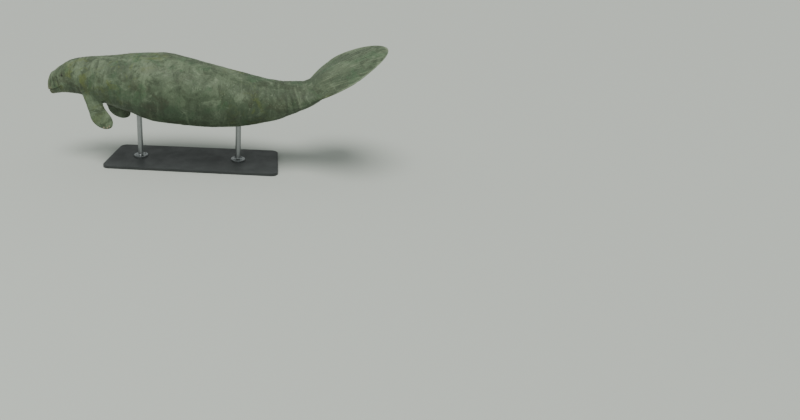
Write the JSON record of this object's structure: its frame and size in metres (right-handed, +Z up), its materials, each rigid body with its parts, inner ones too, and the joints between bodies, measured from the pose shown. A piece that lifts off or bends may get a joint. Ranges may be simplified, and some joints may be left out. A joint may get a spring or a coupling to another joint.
{
  "type": "manatee model on a display stand",
  "caption": "Still life-size manatee gliding with its broad round tail raised and small flippers hanging, held over a flat base by short rods",
  "frame": {"origin": "middle of the underside of the flat base, on the floor under the animal's centre of mass", "axes": "+X runs from the head to the tail, +Y to the animal's right side, +Z up; the head faces -X"},
  "size_m": [2.8596, 0.7684, 1.0361],
  "materials": {
    "hide": "wrinkled grey-brown hide with an olive film of algae",
    "eye": "gloss dark brown",
    "nail": "dull horn",
    "stand_base": "satin dark grey paint",
    "stand_rod": "brushed"
  },
  "bodies": {
    "root": {"muzzle": "hide", "lower_jaw": "hide", "head": "hide", "neck": "hide", "chest": "hide", "belly": "hide", "loins": "hide", "tail_stock": "hide", "tail_paddle": "hide", "flipper_left": "hide", "flipper_right": "hide", "eye_left": "eye", "eye_right": "eye", "nail_left_1": "nail", "nail_left_2": "nail", "nail_left_3": "nail", "nail_right_1": "nail", "nail_right_2": "nail", "nail_right_3": "nail", "stand_base": "stand_base", "stand_rod_front": "stand_rod", "stand_rod_rear": "stand_rod"}
  },
  "joints": []
}
